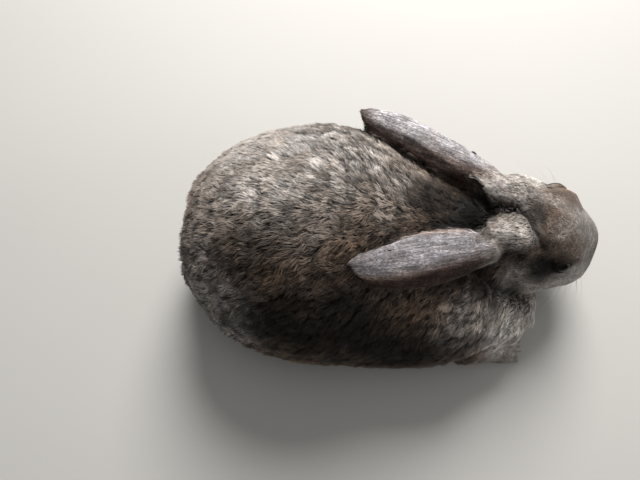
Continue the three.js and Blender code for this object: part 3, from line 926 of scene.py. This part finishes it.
def ticked(tree, share):
    """The coat's colour, broken up by the ticking of its hairs: patches a finger wide, and flecks of 2 mm."""
    place = add_node(tree, "ShaderNodeTexCoord", out="Object")
    colour = add_node(tree, "ShaderNodeAttribute", attribute_name="coat_colour", out="Color")
    for size, weight in ((12 * MM, 0.55), (2.2 * MM, 0.5)):
        noise = add_node(tree, "ShaderNodeTexNoise", {"Vector": place, "Scale": 1 / size, "Detail": 3.0})
        sockets = {"Value": noise, "From Min": 0.3, "From Max": 0.7}
        sockets |= {"To Min": 1 - share * weight, "To Max": 1 + share * weight}
        much = add_node(tree, "ShaderNodeMapRange", sockets)
        colour = add_node(tree, "ShaderNodeVectorMath", {0: colour, "Scale": much}, operation="SCALE")
    return colour


def fur_material(colours):
    """Rabbit fur, ticked: each lock is dark at its root and paler to its tip. Hair is satin, faintly shining."""
    finish = {"Roughness": 0.62, "Specular IOR Level": 0.15, "Sheen Weight": 0.06, "Sheen Roughness": 0.5}
    material, tree, shader = new_material("rabbit_fur", finish)
    way, tone, warm = (
        add_node(tree, "ShaderNodeAttribute", attribute_name=name, out="Fac")
        for name in ("along", "tone", "warm")
    )
    sockets = {"Value": way, "From Max": 0.95, "To Min": 0.2, "To Max": 1.45}
    depth = add_node(tree, "ShaderNodeMapRange", sockets)
    shade = add_node(tree, "ShaderNodeMath", {0: depth, 1: tone}, operation="MULTIPLY")
    colour = add_node(tree, "ShaderNodeVectorMath", {0: ticked(tree, 0.55), "Scale": shade}, operation="SCALE")
    sockets = {"Value": warm, "From Min": 0.4, "From Max": 0.85, "To Max": 0.5}
    tan = add_node(tree, "ShaderNodeMapRange", sockets)
    sockets = {0: tan, 6: colour, 7: (*colours.tan,)}
    colour = add_node(tree, "ShaderNodeMix", sockets, blend_type="SOFT_LIGHT", **MIX)
    tree.links.new(colour, shader.inputs["Base Color"])
    return material


def furred_skin(colours):
    """Skin with dense underfur: the coat's own markings in shade, velvety on the ears, and dark at the lids."""
    finish = {"Roughness": 0.85, "Specular IOR Level": 0.15}
    material, tree, shader = new_material("underfur_on_skin", finish)
    place = add_node(tree, "ShaderNodeTexCoord", out="Object")
    velvet, lid = (
        add_node(tree, "ShaderNodeAttribute", attribute_name=name, out="Fac") for name in ("velvet", "lid")
    )
    shade = add_node(tree, "ShaderNodeMapRange", {"Value": velvet, "To Min": 0.3, "To Max": 0.75})
    colour = add_node(tree, "ShaderNodeVectorMath", {0: ticked(tree, 0.4), "Scale": shade}, operation="SCALE")
    colour = add_node(tree, "ShaderNodeMix", {0: lid, 6: colour, 7: (*colours.lid,)}, **MIX)
    tree.links.new(colour, shader.inputs["Base Color"])
    grain = add_node(tree, "ShaderNodeTexNoise", {"Vector": place, "Scale": 900.0, "Detail": 2.0})
    bump = add_node(tree, "ShaderNodeBump", {"Height": grain, "Strength": 0.35, "Distance": 0.5 * MM})
    tree.links.new(bump, shader.inputs["Normal"])
    return material


def eye_material(colours, centre, outward):
    """A moist eye: a wide dark pupil in a brown iris under a clear, wet cornea, dim between the lids."""
    finish = {"Roughness": 0.18, "Specular IOR Level": 0.08, "Coat Weight": 0.08, "Coat Roughness": 0.05}
    material, tree, shader = new_material("moist_eye", finish)
    place = add_node(tree, "ShaderNodeTexCoord", out="Object")
    away = add_node(tree, "ShaderNodeVectorMath", {0: place, 1: tuple(centre)}, operation="SUBTRACT")
    way = add_node(tree, "ShaderNodeVectorMath", {0: away}, operation="NORMALIZE")
    sockets = {0: way, 1: tuple(outward)}
    facing = add_node(tree, "ShaderNodeVectorMath", sockets, out="Value", operation="DOT_PRODUCT")
    streaks = add_node(tree, "ShaderNodeTexNoise", {"Vector": place, "Scale": 1500.0, "Detail": 2.0})
    colour = add_node(tree, "ShaderNodeMix", {0: streaks, 6: (*colours.iris,), 7: (*colours.pupil,)}, **MIX)
    for near, far, tint in ((0.82, 0.86, colours.pupil), (0.6, 0.55, colours.lid)):
        share = add_node(tree, "ShaderNodeMapRange", {"Value": facing, "From Min": near, "From Max": far})
        colour = add_node(tree, "ShaderNodeMix", {0: share, 6: colour, 7: (*tint,)}, **MIX)
    tree.links.new(colour, shader.inputs["Base Color"])
    return material


def horn_material():
    """Claw horn: keratin grown in layers, so faintly streaked, translucent brown and polished by wear."""
    material, tree, shader = new_material("claw_horn", {"Roughness": 0.38})
    place = add_node(tree, "ShaderNodeTexCoord", out="Object")
    stretched = add_node(tree, "ShaderNodeMapping", {"Vector": place, "Scale": (150.0, 1400.0, 1400.0)})
    layers = add_node(tree, "ShaderNodeTexNoise", {"Vector": stretched, "Detail": 2.0})
    colour = add_node(tree, "ShaderNodeMix", {0: layers, 6: linear("#4a3b30"), 7: linear("#8a7867")}, **MIX)
    tree.links.new(colour, shader.inputs["Base Color"])
    return material


def mottled(name, roughness, scale, first, second):
    """A material of two close colours that run into each other."""
    material, tree, shader = new_material(name, {"Roughness": roughness})
    place = add_node(tree, "ShaderNodeTexCoord", out="Object")
    share = add_node(tree, "ShaderNodeTexNoise", {"Vector": place, "Scale": scale})
    colour = add_node(tree, "ShaderNodeMix", {0: share, 6: first, 7: second}, **MIX)
    tree.links.new(colour, shader.inputs["Base Color"])
    return material


def whisker_material():
    """Whisker hair: stiff, pale and glossy keratin."""
    return mottled("whisker_hair", 0.35, 90.0, linear("#cfc6ba"), linear("#8f8579"))


def floor_material(colour):
    """A floor painted a plain pale colour, matt and barely mottled."""
    return mottled("painted_floor", 0.85, 6.0, (*colour,), tuple(c * 0.97 for c in colour))


# ---- Eyes, claws and whiskers ----
CORNEA = 0.045  # how far the cornea bulges, as a share of the eye's radius
EYE_ROOM = 0.1 * MM  # how much smaller than its solid the eyeball is


class RABBIT_OT_eyes(bpy.types.Operator):
    """Two eyeballs with a bulging cornea, set in the lids"""

    bl_idname = "rabbit.eyes"
    bl_label = "Eyes"

    def execute(self, context):
        for node, side in (("eye_left", 1), ("eye_right", -1)):
            centre = np.array(middle(node))
            outward = unit(np.array(EYE_WAYS[side])) @ HEAD_AXES
            turn = Vector(outward).to_track_quat("Z", "Y").to_matrix().to_4x4()
            work = bmesh.new()
            bmesh.ops.create_uvsphere(work, u_segments=48, v_segments=32, radius=EYE_RADIUS - EYE_ROOM)
            for vertex in work.verts:
                bulge = float(smoothstep(0.74, 0.95, vertex.co.normalized().z))
                vertex.co *= 1 + CORNEA * bulge
            bmesh.ops.transform(work, verts=work.verts, matrix=Matrix.Translation(centre) @ turn)
            mesh = mesh_from(work, f"eyeball_{node[4:]}")
            mesh.shade_smooth()
            mesh.materials.append(eye_material(context.scene.rabbit_colours, centre, outward))
            ball = add_object(mesh.name, mesh)
            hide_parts(node)
        return {"FINISHED"}


# Subdivision draws a claw in, so it is grown first, and kept just off the floor. Both are in millimetres.
CLAW_GROWTH, CLAW_LOWEST = 0.22, 0.2


class RABBIT_OT_claws(bpy.types.Operator):
    """The claws of each foot, rounded from their solids"""

    bl_idname = "rabbit.claws"
    bl_label = "Claws"

    def execute(self, context):
        horn = horn_material()
        for foot in sorted({name.rsplit("_", 1)[0] for name in CLAWS}):
            nodes = [name for name in CLAWS if name.startswith(foot)]
            mesh = copied(foot.replace("claw", "claws"), nodes, CLAW_GROWTH, CLAW_LOWEST)
            mesh.shade_smooth()
            mesh.materials.append(horn)
            claws = add_object(mesh.name, mesh)
            rounder = claws.modifiers.new("rounder", "SUBSURF")
            rounder.levels = rounder.render_levels = 2
            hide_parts(*nodes)
        return {"FINISHED"}


def add_hair(work, path, radius):
    """A tapered hair of five sides along a path of points."""
    ahead = (path[1] - path[0]).normalized()
    turn = Matrix.Translation(path[0]) @ ahead.to_track_quat("Z", "Y").to_matrix().to_4x4()
    ring = bmesh.ops.create_circle(work, cap_ends=True, segments=5, radius=radius, matrix=turn)["verts"]
    edges = [e for e in work.edges if e.verts[0] in ring and e.verts[1] in ring]
    for i, (start, end) in enumerate(zip(path, path[1:])):
        grown = bmesh.ops.extrude_edge_only(work, edges=edges)["geom"]
        ring = [g for g in grown if isinstance(g, bmesh.types.BMVert)]
        edges = [g for g in grown if isinstance(g, bmesh.types.BMEdge)]
        bmesh.ops.translate(work, verts=ring, vec=end - start)
        thinner = (len(path) - 1 - i - 0.7) / (len(path) - i - 0.7)
        bmesh.ops.scale(work, verts=ring, vec=(thinner,) * 3, space=Matrix.Translation(-end))
    bmesh.ops.contextual_create(work, geom=edges)


# Whiskers, in millimetres in the head's own frame: where the first one stands, how far apart the rows and the
# places in a row are, how long the first one in a row is, and how much longer the next ones are.
WHISKER_START, WHISKER_ROW, WHISKER_PLACE = (40, 40, -14), 5.5, 6
WHISKER_LENGTH, WHISKER_LONGER = 30, 6
WHISKER_RADIUS = 0.13 * MM


class RABBIT_OT_whiskers(bpy.types.Operator):
    """Whiskers on the muzzle's pads"""

    bl_idname = "rabbit.whiskers"
    bl_label = "Whiskers"

    def execute(self, context):
        rng = np.random.default_rng(context.scene.rabbit_coat.seed + 1)
        skin = bpy.data.objects["skin"]
        tree = BVHTree.FromPolygons(
            [v.co for v in skin.data.vertices], [list(p.vertices) for p in skin.data.polygons]
        )
        work = bmesh.new()
        ahead, outward, up = WHISKER_START
        spots = [(side, row, place) for side in (1, -1) for row in range(4) for place in range(4)]
        for side, row, place in spots:
            x, z = ahead - WHISKER_PLACE * place, up - WHISKER_ROW * row
            length = WHISKER_LENGTH + WHISKER_LONGER * place
            x, y, z = x + rng.normal(0, 0.8), side * outward, z + rng.normal(0, 0.8)
            start, toward = Vector(from_head(x, y, z)), Vector(from_head(x - 6, 0, z + 3))
            hit, normal, _, _ = tree.ray_cast(start, (toward - start).normalized())
            if hit is None:
                continue
            back = Vector(np.array((-0.5, side * 0.75, -0.15)) @ HEAD_AXES)
            way = (0.75 * normal + 0.7 * back).normalized()
            long = length * rng.uniform(0.75, 1.1) * MM
            droop = Vector((-0.25, 0, -0.22)) * long
            path = [hit - normal * 0.4 * MM + way * long * s + droop * s * s for s in np.linspace(0, 1, 9)]
            add_hair(work, path, WHISKER_RADIUS)
        bmesh.ops.recalc_face_normals(work, faces=work.faces)
        mesh = mesh_from(work, "whiskers")
        mesh.shade_smooth()
        mesh.materials.append(whisker_material())
        add_object("whiskers", mesh)
        return {"FINISHED"}


# ---- Stage ----
# Round area lights, which look at the middle of the rabbit: place, and how far across. Their powers are set.
LIGHTS = {
    "key": ((0.1, 1.1, 1.1), 0.8),
    "top": ((-0.2, 0.3, 1.6), 1.2),
    "side": ((1.3, -0.2, 0.5), 0.9),
    "fill": ((0.1, -1.3, 0.9), 1.6),
}
LIT_POINT = Vector((0, 0, 0.06))
FLOOR_SIZE = 12.0


class RABBIT_OT_stage(bpy.types.Operator):
    """A plain pale floor, soft studio light and the camera"""

    bl_idname = "rabbit.stage"
    bl_label = "Stage"

    def execute(self, context):
        stage = context.scene.rabbit_stage
        self.lay_floor(stage)
        self.light(context.scene, stage)
        self.place_camera(context.scene, stage)
        return {"FINISHED"}

    def lay_floor(self, stage):
        work = bmesh.new()
        bmesh.ops.create_grid(work, x_segments=1, y_segments=1, size=FLOOR_SIZE)
        mesh = mesh_from(work, "floor")
        floor = add_object("floor", mesh, body=None)
        mesh.materials.append(floor_material(stage.floor_colour))

    def light(self, scene, stage):
        """Hangs the lights, and lights the room evenly."""
        for name, (place, size) in LIGHTS.items():
            light = bpy.data.lights.new(name, "AREA")
            light.shape, light.size, light.energy = "DISK", size, getattr(stage, f"{name}_power")
            lamp = bpy.data.objects.new(name, light)
            lamp.location = place
            lamp.rotation_euler = (LIT_POINT - Vector(place)).to_track_quat("-Z", "Y").to_euler()
            scene.collection.objects.link(lamp)

        world = bpy.data.worlds.new("studio")
        world.use_nodes = True
        background = world.node_tree.nodes["Background"]
        background.inputs["Color"].default_value = linear("#dfe3e8")
        background.inputs["Strength"].default_value = stage.ambient
        scene.world = world
        scene.view_settings.view_transform = "Standard"

    def place_camera(self, scene, stage):
        """Points the camera down by its elevation, then turns it by its azimuth and its roll."""
        camera = bpy.data.cameras.new("camera")
        camera.sensor_width, camera.lens = 36.0, stage.lens
        camera.clip_start, camera.clip_end = 0.02, 20
        eye = bpy.data.objects.new("camera", camera)
        azimuth, elevation, roll = stage.azimuth, stage.elevation, stage.roll
        up = Vector((-math.sin(azimuth), math.cos(azimuth), 0))
        back = -math.cos(elevation) * up + math.sin(elevation) * Vector((0, 0, 1))
        down = -math.sin(elevation) * up - math.cos(elevation) * Vector((0, 0, 1))
        right = Vector((math.cos(azimuth), math.sin(azimuth), 0))
        across = math.cos(roll) * right + math.sin(roll) * down
        turn = Matrix((across, back.cross(across), back)).transposed()
        eye.matrix_world = Matrix.Translation(stage.camera_place) @ turn.to_4x4()
        scene.collection.objects.link(eye)
        scene.camera = eye


# ---- Settings ----
def setting(name, description, default, kind=bpy.props.FloatProperty, **more):
    return kind(name=name, description=description, default=default, **more)


def length_setting(name, description, default):
    return setting(name, description, default, unit="LENGTH", precision=5)


def angle_setting(name, description, degrees):
    return setting(name, description, math.radians(degrees), subtype="ANGLE")


def colour_setting(name, description, code):
    more = {"size": 4, "subtype": "COLOR", "min": 0, "max": 1}
    return setting(name, description, linear(code), bpy.props.FloatVectorProperty, **more)


class RabbitCoat(bpy.types.PropertyGroup):
    skin_grain: length_setting("Skin grain", "Spacing of the skin's mesh before it is thinned out", 0.00115)
    body_depth: length_setting("Body coat depth", "How far the body's skin lies inside the coat's tips", 0.005)
    body_length: length_setting("Body tuft length", "Length of the tufts on the body", 0.009)
    tuft_width: length_setting("Tuft width", "Width of the tufts on the body", 0.00072)
    tufts: setting("Tufts", "How many tufts there are in all", 240000, bpy.props.IntProperty)
    seed: setting("Seed", "Seed of everything that varies at random", 11, bpy.props.IntProperty)


class RabbitColours(bpy.types.PropertyGroup):
    back: colour_setting("Back", "Brown-grey ground of the coat", "#6a5d53")
    warm: colour_setting("Warm back", "Browner parts of the ground", "#625244")
    tan: colour_setting("Tan tips", "Tan that tints some tufts", "#a3917e")
    chest: colour_setting("Chest", "Pale grey of the chest and elbows", "#cfc9c1")
    pale: colour_setting("Rump", "Paler grey-beige of the rump and throat", "#9b9691")
    # Also painted shade: on the right flank, round the right eye, in the creases and under the jowls, and
    # between the ears.
    dark: colour_setting("Dark patches", "Dark brown of the flanks and round the eyes", "#1e1813")
    belly: colour_setting("Belly", "Pale low edge of the flanks", "#8d887c")
    ear: colour_setting("Ears", "Blue-grey backs of the ears", "#868284")
    # Partly the ears' own brown, partly painted shade of their lower sides.
    ear_brown: colour_setting("Ears' lower sides", "Reddish brown where the back turns under", "#775f50")
    # Also painted shade where an ear faces down.
    ear_inside: colour_setting("Inside ears", "Brown inner sides of the ears", "#3d2d26")
    ear_base: colour_setting("Ear bases", "Pale tufts at the ears' roots", "#a19a94")
    # Painted light on the left ear's back, which faces the key light.
    ear_painted_light: colour_setting("Left ear", "Paler grey of the left ear's back", "#aaa6a7")
    rim: colour_setting("Ear rim", "Beige upper rim of the ear", "#a8968c")
    lid: colour_setting("Lids", "Bare rims of the lids", "#1c1512")
    iris: colour_setting("Iris", "Brown of the eye", "#24170f")
    pupil: colour_setting("Pupil", "Near-black of the pupil", "#060505")


class RabbitStage(bpy.types.PropertyGroup):
    camera_place: setting(
        "Camera place", "Where the camera stands", (-0.0571, -0.1194, 0.523), bpy.props.FloatVectorProperty,
        subtype="TRANSLATION",
    )
    azimuth: angle_setting("Azimuth", "Turn of the camera to its left", 3)
    elevation: angle_setting("Elevation", "How steeply the camera looks down", 75)
    roll: angle_setting("Roll", "Clockwise tilt of the camera", 1.2)
    lens: setting("Lens", "Focal length in millimetres", 28.1)
    key_power: setting("Key light", "Window-like light, in watts", 52.0)
    top_power: setting("Top light", "Light from above, in watts", 4.0)
    fill_power: setting("Fill light", "Light on the right flank, in watts", 1.0)
    side_power: setting("Side light", "Light on the face, in watts", 5.0)
    ambient: setting("Ambient", "Strength of the room's light", 0.22)
    floor_colour: colour_setting("Floor", "Colour of the floor", "#a9a6a1")


SETTINGS = {"rabbit_coat": RabbitCoat, "rabbit_colours": RabbitColours, "rabbit_stage": RabbitStage}
STEPS = (RABBIT_OT_stage, RABBIT_OT_skin, RABBIT_OT_coat, RABBIT_OT_eyes, RABBIT_OT_claws, RABBIT_OT_whiskers)


class RABBIT_PT_panel(bpy.types.Panel):
    """The rabbit's pieces and settings"""

    bl_idname = "RABBIT_PT_panel"
    bl_label = "Crouched Rabbit"
    bl_space_type = "VIEW_3D"
    bl_region_type = "UI"
    bl_category = "Rabbit"

    def draw(self, context):
        for step in STEPS:
            self.layout.operator(step.bl_idname)
        for group in SETTINGS:
            settings = getattr(context.scene, group)
            box = self.layout.box()
            for name in settings.__annotations__:
                box.prop(settings, name)


def register():
    for group in (*SETTINGS.values(), *STEPS, RABBIT_PT_panel):
        bpy.utils.register_class(group)
    for name, group in SETTINGS.items():
        setattr(bpy.types.Scene, name, bpy.props.PointerProperty(type=group))


def unregister():
    for name in SETTINGS:
        delattr(bpy.types.Scene, name)
    for group in reversed((*SETTINGS.values(), *STEPS, RABBIT_PT_panel)):
        bpy.utils.unregister_class(group)


def main():
    register()
    for step in (
        bpy.ops.rabbit.stage,
        bpy.ops.rabbit.skin,
        bpy.ops.rabbit.coat,
        bpy.ops.rabbit.eyes,
        bpy.ops.rabbit.claws,
        bpy.ops.rabbit.whiskers,
    ):
        step()


if __name__ == "__main__":
    main()
